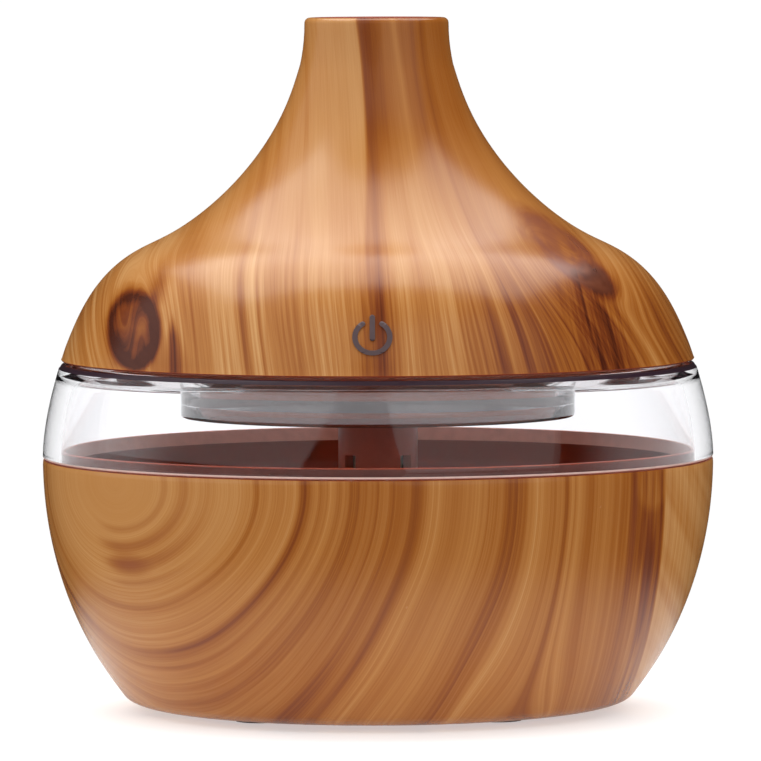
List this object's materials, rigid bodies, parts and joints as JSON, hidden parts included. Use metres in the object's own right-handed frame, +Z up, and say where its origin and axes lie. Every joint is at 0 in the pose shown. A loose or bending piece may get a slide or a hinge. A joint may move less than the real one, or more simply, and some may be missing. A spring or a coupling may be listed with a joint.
{
  "type": "cool mist humidifier",
  "caption": "Small round desktop cool mist humidifier with a wood-grain bowl and flared cover, a clear window band, a lift-off head, a sprung wick and a mesh atomizer in the neck.",
  "frame": {"origin": "centre of the plane that the feet stand on, on the vertical axis of the round body", "axes": "+Z up along the body's axis, -Y towards the side with the power mark, +Y towards the lead socket"},
  "size_m": [0.11, 0.11, 0.1135],
  "materials": {
    "wood_print": "satin shell with a printed wood grain",
    "clear_plastic": "polished clear shell",
    "brown_plastic": "moulded dark brown",
    "white_plastic": "moulded white",
    "diffuser_plastic": "frosted",
    "black_plastic": "moulded black",
    "silicone": "matt silicone",
    "foot_rubber": "matt rubber",
    "cotton": "packed cotton fibre",
    "steel": "plain steel",
    "mesh_steel": "thin drilled steel",
    "socket_steel": "plated sheet",
    "spring_copper": "coated wire",
    "piezo_ceramic": "silvered ceramic",
    "ferrite": "matt ferrite with its winding",
    "capacitor_can": "drawn can",
    "board_green": "solder mask over glass fibre",
    "board_white": "white solder mask over glass fibre",
    "lamp_body": "moulded body with clear filling",
    "lead_red": "vinyl sleeve",
    "lead_white": "vinyl sleeve",
    "lead_yellow": "vinyl sleeve",
    "mark_ink": "printed ink"
  },
  "bodies": {
    "tank": {"lower_bowl": "wood_print", "bowl_feet": "foot_rubber", "tank_window": "clear_plastic"},
    "seal": {"neck_seal": "silicone"},
    "wick_holder": {"wick_tube": "brown_plastic", "wick_tube_cap": "brown_plastic", "wick_spring": "steel"},
    "wick": {"cotton_wick": "cotton"},
    "head": {"upper_cover": "wood_print", "head_base": "brown_plastic", "wick_guide": "white_plastic", "mist_nozzle": "brown_plastic", "atomizer_ring": "piezo_ceramic", "atomizer_mesh": "mesh_steel", "lower_gasket": "silicone", "upper_gasket": "silicone", "light_lens": "diffuser_plastic", "lamp_board": "board_white", "lamps": "lamp_body", "lamp_board_screws": "steel", "control_board": "board_green", "control_chip": "black_plastic", "inductor": "ferrite", "capacitors": "capacitor_can", "lead_connectors": "white_plastic", "usb_socket_shell": "socket_steel", "usb_socket_tongue": "black_plastic", "touch_board": "board_green", "touch_spring": "spring_copper", "power_mark": "mark_ink", "atomizer_leads": "lead_red", "lamp_leads": "lead_white", "touch_leads": "lead_yellow", "base_screws": "steel", "board_screws": "steel", "guide_screws": "steel"}
  },
  "joints": [
    {"name": "head_turn", "type": "hinge", "parent": "tank", "child": "seal", "pos_m": [0, 0, 0.0517], "axis": [0, 0, 1], "continuous": true},
    {"name": "head_lift", "type": "slide", "parent": "seal", "child": "wick_holder", "axis": [0, 0, 1], "range_m": [0, 0.06]},
    {"name": "head_off_wick", "type": "slide", "parent": "wick_holder", "child": "head", "axis": [0, 0, 1], "range_m": [0, 0.056]},
    {"name": "wick_press", "type": "slide", "parent": "wick_holder", "child": "wick", "axis": [0, 0, -1], "range_m": [0, 0.002], "stiffness_N_per_m": 120, "springref_m": -0.004, "deforming": ["wick_spring"]}
  ]
}
